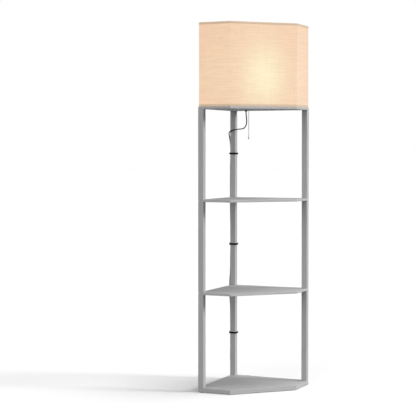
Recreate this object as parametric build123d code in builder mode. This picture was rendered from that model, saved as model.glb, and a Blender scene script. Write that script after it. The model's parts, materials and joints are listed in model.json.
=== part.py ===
from build123d import *
import os
from math import atan2, cos, degrees, pi, radians, sin, sqrt, tan

# Corner floor lamp with shelves, in millimetres. Z is up and Z = 0 is the floor. The plan has five
# sides: two walls of equal length that meet in a right angle at the back corner, two short sides
# square to them, and the open front between those. X = 0 is the plane of symmetry, the back corner
# is towards +Y and the open front towards -Y. The origin is at the middle of the plan's box.

os.makedirs("parts", exist_ok=True)

# ---------------------------------------------------------------- driving dimensions
# plan of the boards and the shade
wall_side = 372.0  # each side that stands along a wall
short_side = 152.0  # each side between a wall and the open front
board_corner_radius = 3.0
board_edge_round = 1.0

# heights
pad_height = 2.0
pad_diameter = 24.0
pad_edge_distance = 30.0
base_thickness = 18.0
shelf_thickness = 10.0
lower_post_length = 404.0
upper_post_length = 392.0  # middle and upper posts
shade_height = 362.0

# posts and what joins them
post_width = 25.0
post_edge_round = 1.5
post_end_chamfer = 0.6
thread_diameter = 6.0
insert_diameter = 10.0
insert_length = 13.0
insert_flange_diameter = 13.0
insert_flange_thickness = 1.2
stud_reach = 18.0  # into each post
bolt_head_diameter = 14.0
bolt_head_height = 4.0
bolt_recess_diameter = 17.0
bolt_recess_depth = 8.0
screw_head_diameter = 12.0
hex_key_size = 4.0
socket_depth = 2.4
fit_clearance = 0.1  # radial, between fixed pieces
hole_clearance = 0.3  # radial, round threads

# shade
linen_thickness = 0.6
liner_thickness = 0.5
hem_thickness = 0.7
hem_height = 10.0
hem_wire_diameter = 3.2
shade_corner_radius = 12.0
spider_wire_diameter = 4.0
spider_rise_start = 26.0  # from either end of an arm to its bend
spider_bend_radius = 18.0
fitter_thickness = 2.0
fitter_width = 7.0

# lampholder and bulb: heights are above the lamp deck
lamp_from_walls = 165.0
holder_foot_diameter = 60.0
holder_foot_thickness = 4.0
holder_diameter = 44.0
holder_height = 42.0
sleeve_diameter = 38.0
sleeve_height = 34.0
sleeve_wall = 3.4
sleeve_floor = 4.0
ring_nut_diameter = 48.0
ring_nut_height = 7.0
ring_nut_grips = 12
holder_screw_circle = 52.6
holder_screw_diameter = 3.5
holder_screw_length = 12.0
holder_screw_head_diameter = 6.4

cap_thread_diameter = 26.0
cap_thread_pitch = 3.6
cap_thread_depth = 0.5
cap_turns = 5
cap_clearance = 0.3
screw_shell_thickness = 0.5
bulb_tip_height = 4.4  # above the sleeve's floor
bulb_diameter = 60.0
bulb_length = 110.0
bulb_collar_length = 34.0
bulb_wall = 1.4

# pull switch
lever_pivot_radius = 12.0  # from the lamp's axis
lever_pivot_height = 25.0
lever_arm = 24.0
lever_rest_angle = 11.0  # above level
lever_thickness = 1.6
lever_hub_diameter = 9.0
lever_tip_diameter = 7.6
lever_eye_diameter = 4.0
lever_slot_width = 4.0
lever_slot_height = 24.0
pivot_pin_diameter = 3.0
pivot_pin_length = 16.0
bead_diameter = 3.2
bead_pitch = 4.0
chain_wire_diameter = 1.2
chain_ring_radius = 3.0
chain_play = 0.3
chain_drop = 129.0  # knob's end below the deck's underside
swivel_below_deck = 3.0
knob_diameter = 7.0
knob_length = 12.0
eyelet_bore_diameter = 5.4
eyelet_wall = 0.8
eyelet_flange_width = 1.2

# cord and what is on it
cord_diameter = 5.0
bushing_from_walls = 117.0
bushing_body_diameter = 10.0
bushing_head_diameter = 13.0
bushing_head_height = 2.5
bushing_tip_diameter = 8.4
bushing_tip_height = 5.0
bushing_rise = 10.0  # above the deck
bushing_nut_width = 15.0
bushing_nut_height = 4.0
strap_width = 7.6
strap_thickness = 2.3  # each of its two turns
strap_clearance = 0.15
strap_rise = (196.0, 188.0, 199.0)  # above the board that each length of the post stands on
cord_from_post = 0.4  # gap under the straps
cord_slack = 0.7  # of the straps over the cord
plug_width = 25.0
plug_thickness = 13.0
plug_body_length = 26.0
plug_neck_length = 22.0
blade_length = 16.0
blade_width = 6.4
wide_blade_width = 7.9
blade_thickness = 1.5
blade_spacing = 12.7
blade_root = 8.0  # inside the plug
hank_middle = (98.0, -31.0)  # from the two walls
hank_half_length = 38.0  # from its middle to the centre of either end
hank_end_radius = 16.8
hank_waist = 7.0  # half width where it is tied
hank_shoulder = (17.0, 11.6)
hank_layer = 5.5
hank_tie_thickness = 0.7
hank_tie_width = 4.0

# ---------------------------------------------------------------- levels and places
base_bottom = pad_height
base_top = base_bottom + base_thickness
mid_shelf_bottom = base_top + lower_post_length
mid_shelf_top = mid_shelf_bottom + shelf_thickness
top_shelf_bottom = mid_shelf_top + upper_post_length
top_shelf_top = top_shelf_bottom + shelf_thickness
deck_bottom = top_shelf_top + upper_post_length
deck_top = deck_bottom + shelf_thickness
shade_bottom = deck_top
shade_top = shade_bottom + shade_height

strap_heights = [
    rise + board_top for rise, board_top in zip(strap_rise, (base_top, mid_shelf_top, top_shelf_top))
]

half_depth = (wall_side + short_side) / sqrt(2) / 2


def plan(from_left_wall, from_right_wall):
    """The point of the plan at these distances from the two walls."""
    x = (from_left_wall - from_right_wall) / sqrt(2)
    y = half_depth - (from_left_wall + from_right_wall) / sqrt(2)
    return x, y


def plan_corners(inset=0.0):
    """Back, right, front right, front left and left corner, with every side moved in."""
    far = wall_side - inset
    short = short_side + inset - inset * sqrt(2)
    return [plan(inset, inset), plan(far, inset), plan(far, short), plan(short, far), plan(inset, far)]


def five_sides(inset, radius, mode=Mode.ADD):
    """A five-sided face in the current sketch, with rounded corners."""
    with BuildLine() as outline:
        FilletPolyline(*plan_corners(inset), radius=radius, close=True)
    make_face(outline.edges(), mode=mode)


def export(piece, label):
    """Names a finished piece and writes it."""
    piece.part.label = label
    export_step(piece.part, f"parts/{label}.step")


post_half = post_width / 2
post_centres = {
    "left": plan(post_half, wall_side - post_half),
    "back": plan(post_half, post_half),
    "right": plan(wall_side - post_half, post_half),
}
post_tiers = {
    "lower": (base_top, lower_post_length),
    "middle": (mid_shelf_top, upper_post_length),
    "upper": (top_shelf_top, upper_post_length),
}
thread_radius = thread_diameter / 2
stud_hole_radius = thread_radius + hole_clearance
lamp_x, lamp_y = plan(lamp_from_walls, lamp_from_walls)
bushing_x, bushing_y = plan(bushing_from_walls, bushing_from_walls)
bushing_hole_radius = bushing_body_diameter / 2 + fit_clearance
chain_y = lamp_y + lever_pivot_radius + lever_arm * cos(radians(lever_rest_angle))
eyelet_radius = eyelet_bore_diameter / 2 + eyelet_wall
cord_radius = cord_diameter / 2


def below(x, y, z):
    """A place that faces down, for holes drilled from underneath."""
    return Plane(origin=(x, y, z), z_dir=(0, 0, -1)).location


# ---------------------------------------------------------------- boards
def ease_board_edges(board):
    """Rounds a board's upper and lower rim."""
    faces = board.faces().filter_by(Axis.Z).sort_by(Axis.Z)
    fillet(faces[0].edges() + faces[-1].edges(), radius=board_edge_round)


with BuildPart() as base_board:
    with BuildSketch(Plane.XY.offset(base_bottom)):
        five_sides(0, board_corner_radius)
    extrude(amount=base_thickness)
    ease_board_edges(base_board)
    with Locations(*[below(x, y, base_bottom) for x, y in post_centres.values()]):
        CounterBoreHole(
            radius=stud_hole_radius,
            counter_bore_radius=bolt_recess_diameter / 2,
            counter_bore_depth=bolt_recess_depth,
        )
export(base_board, "base_board")

for shelf_label, shelf_bottom in (("mid_shelf", mid_shelf_bottom), ("top_shelf", top_shelf_bottom)):
    with BuildPart() as shelf:
        with BuildSketch(Plane.XY.offset(shelf_bottom)):
            five_sides(0, board_corner_radius)
        extrude(amount=shelf_thickness)
        ease_board_edges(shelf)
        with Locations(*[(x, y, shelf_bottom) for x, y in post_centres.values()]):
            Hole(radius=stud_hole_radius)
    export(shelf, shelf_label)

holder_screw_places = [
    (lamp_x - holder_screw_circle / 2, lamp_y),
    (lamp_x + holder_screw_circle / 2, lamp_y),
]
holder_screw_sink = holder_screw_length - holder_foot_thickness + hole_clearance

with BuildPart() as lamp_deck:
    with BuildSketch(Plane.XY.offset(deck_bottom)):
        five_sides(0, board_corner_radius)
    extrude(amount=shelf_thickness)
    ease_board_edges(lamp_deck)
    with Locations(*[(x, y, deck_top) for x, y in post_centres.values()]):
        CounterSinkHole(
            radius=stud_hole_radius,
            counter_sink_radius=screw_head_diameter / 2 + hole_clearance,
        )
    with Locations((bushing_x, bushing_y, deck_top)):
        Hole(radius=bushing_hole_radius)
    with Locations((lamp_x, chain_y, deck_top)):
        Hole(radius=eyelet_radius + fit_clearance)
    with Locations(*[(x, y, deck_top) for x, y in holder_screw_places]):
        Hole(radius=holder_screw_diameter / 2 + fit_clearance, depth=holder_screw_sink)
export(lamp_deck, "lamp_deck")

# ---------------------------------------------------------------- posts
insert_pocket_depth = insert_length + fit_clearance
stud_hole_depth = stud_reach + 2.0

for tier, (post_bottom, post_length) in post_tiers.items():
    for side, (post_x, post_y) in post_centres.items():
        with BuildPart() as post:
            with BuildSketch(Plane.XY.offset(post_bottom)) as post_section:
                with Locations((post_x, post_y)):
                    Rectangle(post_width, post_width, rotation=45)
                fillet(post_section.vertices(), radius=post_edge_round)
            extrude(amount=post_length)
            ends = post.faces().filter_by(Axis.Z)
            chamfer(ends.edges(), length=post_end_chamfer)
            with Locations(
                (post_x, post_y, post_bottom + post_length), below(post_x, post_y, post_bottom)
            ):
                CounterBoreHole(
                    radius=insert_diameter / 2 + fit_clearance,
                    counter_bore_radius=insert_flange_diameter / 2 + fit_clearance,
                    counter_bore_depth=insert_flange_thickness + fit_clearance,
                    depth=insert_pocket_depth,
                )
                Hole(radius=stud_hole_radius, depth=stud_hole_depth)
        export(post, f"{side}_post_{tier}")

# ---------------------------------------------------------------- fasteners of the stand
post_ends = []
for post_bottom, post_length in post_tiers.values():
    for post_x, post_y in post_centres.values():
        post_ends.append((post_x, post_y, post_bottom + fit_clearance, 1))
        post_ends.append((post_x, post_y, post_bottom + post_length - fit_clearance, -1))

with BuildPart() as threaded_inserts:
    for end_x, end_y, end_z, inward in post_ends:
        with BuildSketch(Plane.XY.offset(end_z)):
            with Locations((end_x, end_y)):
                Circle(insert_diameter / 2)
                Circle(thread_radius + fit_clearance, mode=Mode.SUBTRACT)
        extrude(amount=inward * (insert_length - fit_clearance))
        with BuildSketch(Plane.XY.offset(end_z)):
            with Locations((end_x, end_y)):
                Circle(insert_flange_diameter / 2)
                Circle(thread_radius + fit_clearance, mode=Mode.SUBTRACT)
        extrude(amount=inward * insert_flange_thickness)
export(threaded_inserts, "threaded_inserts")

with BuildPart() as shelf_studs:
    for shelf_bottom in (mid_shelf_bottom, top_shelf_bottom):
        for post_x, post_y in post_centres.values():
            with BuildSketch(Plane.XY.offset(shelf_bottom - stud_reach)):
                with Locations((post_x, post_y)):
                    Circle(thread_radius)
            extrude(amount=shelf_thickness + 2 * stud_reach)
    stud_tops = shelf_studs.faces().filter_by(Axis.Z)
    chamfer(stud_tops.edges(), length=0.8)
    for shelf_top in (mid_shelf_top, top_shelf_top):
        with BuildSketch(Plane.XY.offset(shelf_top + stud_reach - socket_depth)):
            with Locations(*post_centres.values()):
                RegularPolygon(radius=hex_key_size / 2, side_count=6)
        extrude(amount=socket_depth, mode=Mode.SUBTRACT)
export(shelf_studs, "shelf_studs")

with BuildPart() as base_bolts:
    head_seat = base_bottom + bolt_recess_depth
    for post_x, post_y in post_centres.values():
        with BuildSketch(Plane.XY.offset(head_seat)):
            with Locations((post_x, post_y)):
                Circle(bolt_head_diameter / 2)
        extrude(amount=-bolt_head_height)
    fillet(base_bolts.faces().sort_by(Axis.Z)[:3].edges(), radius=1.2)
    for post_x, post_y in post_centres.values():
        with BuildSketch(Plane.XY.offset(head_seat)):
            with Locations((post_x, post_y)):
                Circle(thread_radius)
        extrude(amount=base_top + stud_reach - head_seat)
    with BuildSketch(Plane.XY.offset(head_seat - bolt_head_height)):
        with Locations(*post_centres.values()):
            RegularPolygon(radius=hex_key_size / 2, side_count=6)
    extrude(amount=socket_depth, mode=Mode.SUBTRACT)
export(base_bolts, "base_bolts")

with BuildPart() as deck_screws:
    for post_x, post_y in post_centres.values():
        with BuildSketch(Plane.XZ.offset(-post_y)):
            with BuildLine():
                head_radius = screw_head_diameter / 2
                cone_depth = head_radius - thread_radius
                rim = 0.4
                Polyline(
                    (post_x, deck_top),
                    (post_x + head_radius - rim, deck_top),
                    (post_x + head_radius - rim, deck_top - rim),
                    (post_x + thread_radius, deck_top - cone_depth),
                    (post_x + thread_radius, deck_bottom - stud_reach),
                    (post_x, deck_bottom - stud_reach),
                    close=True,
                )
            make_face()
        revolve(axis=Axis((post_x, post_y, 0), (0, 0, 1)))
    with BuildSketch(Plane.XY.offset(deck_top - socket_depth)):
        with Locations(*post_centres.values()):
            RegularPolygon(radius=hex_key_size / 2, side_count=6)
    extrude(amount=socket_depth, mode=Mode.SUBTRACT)
export(deck_screws, "deck_screws")

front_pad_places = plan_corners(pad_edge_distance)[2:4]
with BuildPart() as floor_pads:
    with BuildSketch():
        with Locations(*post_centres.values(), *front_pad_places):
            Circle(pad_diameter / 2)
    extrude(amount=pad_height)
    fillet(floor_pads.faces().sort_by(Axis.Z)[:5].edges(), radius=0.5)
export(floor_pads, "floor_pads")

# ---------------------------------------------------------------- shade
wire_radius = hem_wire_diameter / 2
cloth_inset = hem_thickness
cloth_wall = linen_thickness + liner_thickness
wire_inset = cloth_inset + cloth_wall + fit_clearance + wire_radius
hem_depth = wire_inset + wire_radius + fit_clearance + hem_thickness
cloth_bottom = shade_bottom + hem_thickness
cloth_height = shade_height - 2 * hem_thickness
lower_wire_z = cloth_bottom + fit_clearance + wire_radius
upper_wire_z = cloth_bottom + cloth_height - fit_clearance - wire_radius

for sheet_label, sheet_inset, sheet_wall in (
    ("shade_linen", cloth_inset, linen_thickness),
    ("shade_liner", cloth_inset + linen_thickness, liner_thickness),
):
    with BuildPart() as shade_sheet:
        with BuildSketch(Plane.XY.offset(cloth_bottom)):
            five_sides(sheet_inset, shade_corner_radius - sheet_inset)
            sheet_inner = sheet_inset + sheet_wall
            five_sides(sheet_inner, shade_corner_radius - sheet_inner, mode=Mode.SUBTRACT)
        extrude(amount=cloth_height)
    export(shade_sheet, sheet_label)

# The hem folds over the sheets' edge and over the wire behind them, in one channel.
spider_directions = (135.0, 45.0, -90.0)  # to the left wall, the right wall and the open front
inner_leg_height = hem_wire_diameter + 2 * fit_clearance + 2 * hem_thickness


def hem_channel(rim_z, inward):
    """A hem whose closed edge lies at rim_z and whose legs run inward, up (1) or down (-1)."""
    inner_inset = hem_depth - hem_thickness
    for outer, inner, height in (
        (0, hem_depth, hem_thickness),
        (0, hem_thickness, hem_height),
        (inner_inset, hem_depth, inner_leg_height),
    ):
        with BuildSketch(Plane.XY.offset(rim_z)) as band:
            five_sides(outer, shade_corner_radius - outer)
            five_sides(inner, shade_corner_radius - inner, mode=Mode.SUBTRACT)
        extrude(band.sketch, amount=inward * height)


with BuildPart() as shade_top_hem:
    hem_channel(shade_top, -1)
export(shade_top_hem, "shade_top_hem")


def side_distance(direction):
    """From the lamp's axis to the plan's outer side in a direction square to that side."""
    to_wall = lamp_from_walls
    to_front = half_depth + lamp_y
    return to_front if direction < 0 else to_wall


with BuildPart() as shade_bottom_hem:
    hem_channel(shade_bottom, 1)
    for direction in spider_directions:
        reach = side_distance(direction) - hem_depth
        notch = Plane(origin=(lamp_x, lamp_y, lower_wire_z), z_dir=(0, 0, 1)).rotated((0, 0, direction))
        with BuildSketch(notch.offset(-wire_radius - fit_clearance)):
            with Locations((reach, 0)):
                Rectangle(2.4 * hem_thickness, spider_wire_diameter + 2 * hole_clearance)
        extrude(amount=inner_leg_height + 2, mode=Mode.SUBTRACT)
export(shade_bottom_hem, "shade_bottom_hem")


def wire_ring(z):
    """A five-sided ring of round wire inside the hem at height z."""
    with BuildLine() as ring_line:
        corners = [(x, y, z) for x, y in plan_corners(wire_inset)]
        FilletPolyline(*corners, radius=shade_corner_radius - wire_inset, close=True)
    start = ring_line.edges().filter_by(GeomType.LINE)[0]
    with BuildSketch(Plane(origin=start @ 0.5, z_dir=start % 0.5)) as wire_section:
        Circle(wire_radius)
    sweep(wire_section.sketch, path=ring_line.wires()[0])


with BuildPart() as shade_top_ring:
    wire_ring(upper_wire_z)
export(shade_top_ring, "shade_top_ring")

fitter_bottom = deck_top + holder_height
fitter_bore_radius = sleeve_diameter / 2 + hole_clearance
fitter_radius = fitter_bore_radius + fitter_width

with BuildPart() as shade_spider:
    wire_ring(lower_wire_z)
    with BuildSketch(Plane.XY.offset(fitter_bottom)):
        with Locations((lamp_x, lamp_y)):
            Circle(fitter_radius)
            Circle(fitter_bore_radius, mode=Mode.SUBTRACT)
    extrude(amount=fitter_thickness)
    for direction in spider_directions:
        arm_plane = Plane(origin=(lamp_x, lamp_y, 0), z_dir=(0, 0, 1)).rotated((0, 0, direction))
        ring_distance = side_distance(direction) - wire_inset
        arm_lift = (spider_wire_diameter - hem_wire_diameter) / 2
        arm_points = [
            (ring_distance, 0, lower_wire_z + arm_lift),
            (ring_distance - spider_rise_start, 0, lower_wire_z + arm_lift),
            (fitter_radius + spider_rise_start, 0, fitter_bottom + fitter_thickness / 2),
            (ring_nut_diameter / 2 + hole_clearance, 0, fitter_bottom + fitter_thickness / 2),
        ]
        arm_points = [arm_plane.from_local_coords(Vector(*point)) for point in arm_points]
        with BuildLine() as arm_line:
            FilletPolyline(*arm_points, radius=spider_bend_radius)
        arm_path = arm_line.wires()[0]
        with BuildSketch(Plane(origin=arm_path @ 0, z_dir=arm_path % 0)) as arm_section:
            Circle(spider_wire_diameter / 2)
        sweep(arm_section.sketch, path=arm_path)
export(shade_spider, "shade_spider")

# ---------------------------------------------------------------- lampholder
lever_plane = Plane(
    origin=(lamp_x, lamp_y + lever_pivot_radius, deck_top + lever_pivot_height),
    x_dir=(0, cos(radians(lever_rest_angle)), sin(radians(lever_rest_angle))),
    z_dir=(1, 0, 0),
)
holder_radius = holder_diameter / 2
cord_entry_height = 10.0
cord_entry_angle = 162.0  # round the lamp's axis, clear of the fixing screws and the chain
pin_hole_radius = pivot_pin_diameter / 2 + fit_clearance

with BuildPart() as socket_housing:
    with BuildSketch(Plane.XZ.offset(-lamp_y)):
        with BuildLine():
            Polyline(
                (lamp_x, deck_top),
                (lamp_x + holder_foot_diameter / 2, deck_top),
                (lamp_x + holder_foot_diameter / 2, deck_top + holder_foot_thickness - 1),
                (lamp_x + holder_foot_diameter / 2 - 1, deck_top + holder_foot_thickness),
                (lamp_x + holder_radius, deck_top + holder_foot_thickness),
                (lamp_x + holder_radius, deck_top + holder_height - 2),
                (lamp_x + holder_radius - 2, deck_top + holder_height),
                (lamp_x, deck_top + holder_height),
                close=True,
            )
        make_face()
    revolve(axis=Axis((lamp_x, lamp_y, 0), (0, 0, 1)))
    with Locations(*[(x, y, deck_top + holder_foot_thickness) for x, y in holder_screw_places]):
        Hole(radius=holder_screw_diameter / 2 + fit_clearance)
    slot_centre_y = lamp_y + lever_pivot_radius - lever_hub_diameter / 2 - 1 + holder_radius / 2
    with Locations((lamp_x, slot_centre_y, deck_top + lever_pivot_height)):
        Box(lever_slot_width, holder_radius, lever_slot_height, mode=Mode.SUBTRACT)
    pin_place = (lamp_x, lamp_y + lever_pivot_radius, deck_top + lever_pivot_height)
    with Locations(Plane(origin=pin_place, z_dir=(1, 0, 0)).location):
        Cylinder(radius=pin_hole_radius, height=pivot_pin_length + 2 * fit_clearance, mode=Mode.SUBTRACT)
    entry_direction = (cos(radians(cord_entry_angle)), sin(radians(cord_entry_angle)), 0)
    entry_plane = Plane(origin=(lamp_x, lamp_y, deck_top + cord_entry_height), z_dir=entry_direction)
    with BuildSketch(entry_plane.offset(holder_radius - 8)):
        Circle(cord_radius + fit_clearance)
    extrude(amount=12, mode=Mode.SUBTRACT)
export(socket_housing, "socket_housing")

sleeve_bottom = deck_top + holder_height
sleeve_radius = sleeve_diameter / 2
sleeve_bore_radius = sleeve_radius - sleeve_wall
with BuildPart() as socket_sleeve:
    with BuildSketch(Plane.XY.offset(sleeve_bottom)):
        with Locations((lamp_x, lamp_y)):
            Circle(sleeve_radius)
    extrude(amount=sleeve_height)
    chamfer(socket_sleeve.faces().sort_by(Axis.Z)[-1].edges(), length=0.8)
    with BuildSketch(Plane.XY.offset(sleeve_bottom + sleeve_floor)):
        with Locations((lamp_x, lamp_y)):
            Circle(sleeve_bore_radius)
    extrude(amount=sleeve_height, mode=Mode.SUBTRACT)
export(socket_sleeve, "socket_sleeve")

ring_nut_bottom = fitter_bottom + fitter_thickness
with BuildPart() as ring_nut:
    with BuildSketch(Plane.XY.offset(ring_nut_bottom)):
        with Locations((lamp_x, lamp_y)):
            Circle(ring_nut_diameter / 2)
            Circle(sleeve_radius + fit_clearance, mode=Mode.SUBTRACT)
        with Locations((lamp_x, lamp_y)):
            with PolarLocations(ring_nut_diameter / 2 + 0.6, ring_nut_grips):
                Circle(1.8, mode=Mode.SUBTRACT)
    extrude(amount=ring_nut_height)
export(ring_nut, "ring_nut")

with BuildPart() as holder_screws:
    screw_radius = holder_screw_diameter / 2
    screw_head_seat = deck_top + holder_foot_thickness
    for screw_x, screw_y in holder_screw_places:
        with BuildSketch(Plane.XY.offset(screw_head_seat)):
            with Locations((screw_x, screw_y)):
                Circle(holder_screw_head_diameter / 2)
        extrude(amount=2.2)
    fillet(holder_screws.faces().sort_by(Axis.Z)[-2:].edges(), radius=0.8)
    for screw_x, screw_y in holder_screw_places:
        with BuildSketch(Plane.XY.offset(screw_head_seat)):
            with Locations((screw_x, screw_y)):
                Circle(screw_radius)
        extrude(amount=-holder_screw_length)
    with BuildSketch(Plane.XY.offset(screw_head_seat + 1.2)):
        with Locations(*holder_screw_places):
            Rectangle(0.9, 4.2)
            Rectangle(4.2, 0.9)
    extrude(amount=2, mode=Mode.SUBTRACT)
export(holder_screws, "holder_screws")


def thread_wave(mean_radius, bottom, depth):
    """The rolled thread's side in the XZ sketch, from bottom up, as half waves that swell and
    shrink by depth; drawn in the current line."""
    half_pitch = cap_thread_pitch / 2
    for half_turn in range(2 * cap_turns):
        z = bottom + half_turn * half_pitch
        swell = depth if half_turn % 2 == 0 else -depth
        ThreePointArc(
            (lamp_x + mean_radius, z),
            (lamp_x + mean_radius + swell, z + half_pitch / 2),
            (lamp_x + mean_radius, z + half_pitch),
        )


lamp_axis = Axis((lamp_x, lamp_y, 0), (0, 0, 1))
thread_bottom = sleeve_bottom + sleeve_floor + 4.0
thread_top = thread_bottom + cap_turns * cap_thread_pitch
thread_mean_radius = cap_thread_diameter / 2 - cap_thread_depth
shell_inner_radius = thread_mean_radius + cap_clearance
shell_outer_radius = shell_inner_radius + screw_shell_thickness

with BuildPart() as screw_shell:
    with BuildSketch(Plane.XZ.offset(-lamp_y)):
        with BuildLine():
            thread_wave(shell_outer_radius, thread_bottom, cap_thread_depth)
            Line((lamp_x + shell_outer_radius, thread_top), (lamp_x + shell_inner_radius, thread_top))
            thread_wave(shell_inner_radius, thread_bottom, cap_thread_depth)
            Line((lamp_x + shell_inner_radius, thread_bottom), (lamp_x + shell_outer_radius, thread_bottom))
        make_face()
    revolve(axis=lamp_axis)
    with BuildSketch(Plane.XY.offset(sleeve_bottom + sleeve_floor)):
        with Locations((lamp_x, lamp_y)):
            Circle(sleeve_bore_radius - fit_clearance)
            Circle(shell_inner_radius - 3, mode=Mode.SUBTRACT)
    extrude(amount=screw_shell_thickness)
    with BuildSketch(Plane.XY.offset(sleeve_bottom + sleeve_floor)):
        with Locations((lamp_x, lamp_y)):
            Circle(shell_outer_radius)
            Circle(shell_inner_radius, mode=Mode.SUBTRACT)
    extrude(amount=thread_bottom - sleeve_bottom - sleeve_floor)
export(screw_shell, "screw_shell")

bulb_tip_z = sleeve_bottom + sleeve_floor + bulb_tip_height
tip_height = 1.6
insulator_height = 2.6
contact_gap = 0.2
with BuildPart() as centre_contact:
    leaf_z = sleeve_bottom + sleeve_floor
    leaf_rise = bulb_tip_height - contact_gap
    with BuildSketch(Plane.XZ.offset(-lamp_y)):
        with BuildLine():
            Polyline(
                (lamp_x - 8, leaf_z),
                (lamp_x - 4, leaf_z),
                (lamp_x + 1, leaf_z + leaf_rise - 0.5),
                (lamp_x + 5, leaf_z + leaf_rise - 0.5),
                (lamp_x + 5, leaf_z + leaf_rise),
                (lamp_x + 0.8, leaf_z + leaf_rise),
                (lamp_x - 4.2, leaf_z + 0.5),
                (lamp_x - 8, leaf_z + 0.5),
                close=True,
            )
        make_face()
    extrude(amount=3, both=True)
export(centre_contact, "centre_contact")

# ---------------------------------------------------------------- bulb
cap_bottom = bulb_tip_z + tip_height + insulator_height
cap_top = thread_top + 2.0
cap_radius = thread_mean_radius
with BuildPart() as bulb_cap:
    with BuildSketch(Plane.XZ.offset(-lamp_y)):
        with BuildLine():
            Line((lamp_x, cap_bottom - 0.4), (lamp_x + cap_radius - 3, cap_bottom - 0.4))
            Line((lamp_x + cap_radius - 3, cap_bottom - 0.4), (lamp_x + cap_radius, thread_bottom + 0.9))
            cap_line_start = thread_bottom + 0.9
            half_pitch = cap_thread_pitch / 2
            Line((lamp_x + cap_radius, cap_line_start), (lamp_x + cap_radius, thread_bottom + half_pitch))
            for half_turn in range(1, 2 * cap_turns):
                wave_z = thread_bottom + half_turn * half_pitch
                swell = cap_thread_depth if half_turn % 2 == 0 else -cap_thread_depth
                ThreePointArc(
                    (lamp_x + cap_radius, wave_z),
                    (lamp_x + cap_radius + swell, wave_z + half_pitch / 2),
                    (lamp_x + cap_radius, wave_z + half_pitch),
                )
            Line((lamp_x + cap_radius, thread_top), (lamp_x + cap_radius, cap_top))
            Line((lamp_x + cap_radius, cap_top), (lamp_x, cap_top))
            Line((lamp_x, cap_top), (lamp_x, cap_bottom - 0.4))
        make_face()
    revolve(axis=lamp_axis)
export(bulb_cap, "bulb_cap")

with BuildPart() as bulb_insulator:
    with BuildSketch(Plane.XZ.offset(-lamp_y)):
        with BuildLine():
            Polyline(
                (lamp_x, bulb_tip_z + tip_height),
                (lamp_x + 4.6, bulb_tip_z + tip_height),
                (lamp_x + cap_radius - 3.2, cap_bottom - 0.4),
                (lamp_x, cap_bottom - 0.4),
                close=True,
            )
        make_face()
    revolve(axis=lamp_axis)
export(bulb_insulator, "bulb_insulator")

with BuildPart() as bulb_tip:
    with BuildSketch(Plane.XY.offset(bulb_tip_z)):
        with Locations((lamp_x, lamp_y)):
            Circle(4.4)
    extrude(amount=tip_height)
    fillet(bulb_tip.faces().sort_by(Axis.Z)[0].edges(), radius=1.2)
export(bulb_tip, "bulb_tip")

bulb_radius = bulb_diameter / 2
bulb_top_z = bulb_tip_z + bulb_length
globe_centre_z = bulb_top_z - bulb_radius
collar_top = cap_top + bulb_collar_length
collar_foot_radius = cap_radius + 1.5
# the globe meets the collar where its circle has come in to this radius
collar_top_radius = sqrt(bulb_radius**2 - (globe_centre_z - collar_top) ** 2)
with BuildPart() as bulb_collar:
    with BuildSketch(Plane.XZ.offset(-lamp_y)):
        with BuildLine():
            Line((lamp_x, cap_top), (lamp_x + collar_foot_radius, cap_top))
            Line(
                (lamp_x + collar_foot_radius, cap_top),
                (lamp_x + collar_foot_radius, cap_top + 6),
            )
            Spline(
                (lamp_x + collar_foot_radius, cap_top + 6),
                (lamp_x + collar_top_radius, collar_top),
                tangents=((0, 1), (globe_centre_z - collar_top, collar_top_radius)),
            )
            Line((lamp_x + collar_top_radius, collar_top), (lamp_x, collar_top))
            Line((lamp_x, collar_top), (lamp_x, cap_top))
        make_face()
    revolve(axis=lamp_axis)
export(bulb_collar, "bulb_collar")

with BuildPart() as bulb_globe:
    with BuildSketch(Plane.XZ.offset(-lamp_y)):
        with BuildLine():
            globe_inner = bulb_radius - bulb_wall
            inner_foot_radius = sqrt(globe_inner**2 - (globe_centre_z - collar_top) ** 2)
            ThreePointArc(
                (lamp_x + collar_top_radius, collar_top),
                (lamp_x + bulb_radius, globe_centre_z),
                (lamp_x, bulb_top_z),
            )
            Line((lamp_x, bulb_top_z), (lamp_x, bulb_top_z - bulb_wall))
            ThreePointArc(
                (lamp_x, bulb_top_z - bulb_wall),
                (lamp_x + globe_inner, globe_centre_z),
                (lamp_x + inner_foot_radius, collar_top),
            )
            Line((lamp_x + inner_foot_radius, collar_top), (lamp_x + collar_top_radius, collar_top))
        make_face()
    revolve(axis=lamp_axis)
export(bulb_globe, "bulb_globe")

# ---------------------------------------------------------------- pull lever and chain
with BuildPart() as pull_lever:
    with BuildSketch(lever_plane):
        Circle(lever_hub_diameter / 2)
        with Locations((lever_arm, 0)):
            Circle(lever_tip_diameter / 2)
        make_hull()
        Circle(pin_hole_radius, mode=Mode.SUBTRACT)
        with Locations((lever_arm, 0)):
            Circle(lever_eye_diameter / 2, mode=Mode.SUBTRACT)
    extrude(amount=lever_thickness / 2, both=True)
export(pull_lever, "pull_lever")

with BuildPart() as lever_pin:
    with BuildSketch(Plane(origin=pin_place, z_dir=(1, 0, 0))):
        Circle(pivot_pin_diameter / 2)
    extrude(amount=pivot_pin_length / 2, both=True)
    chamfer(lever_pin.faces().filter_by(Axis.X).edges(), length=0.4)
export(lever_pin, "lever_pin")

eye_z = deck_top + lever_pivot_height + lever_arm * sin(radians(lever_rest_angle))
chain_wire_radius = chain_wire_diameter / 2
ring_top_z = eye_z - lever_eye_diameter / 2 + chain_play + chain_wire_radius
ring_centre_z = ring_top_z - chain_ring_radius
ring_bottom_z = ring_centre_z - chain_ring_radius
chain_axis = Axis((lamp_x, chain_y, 0), (0, 0, 1))
bead_radius = bead_diameter / 2
neck_radius = chain_wire_radius


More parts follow.
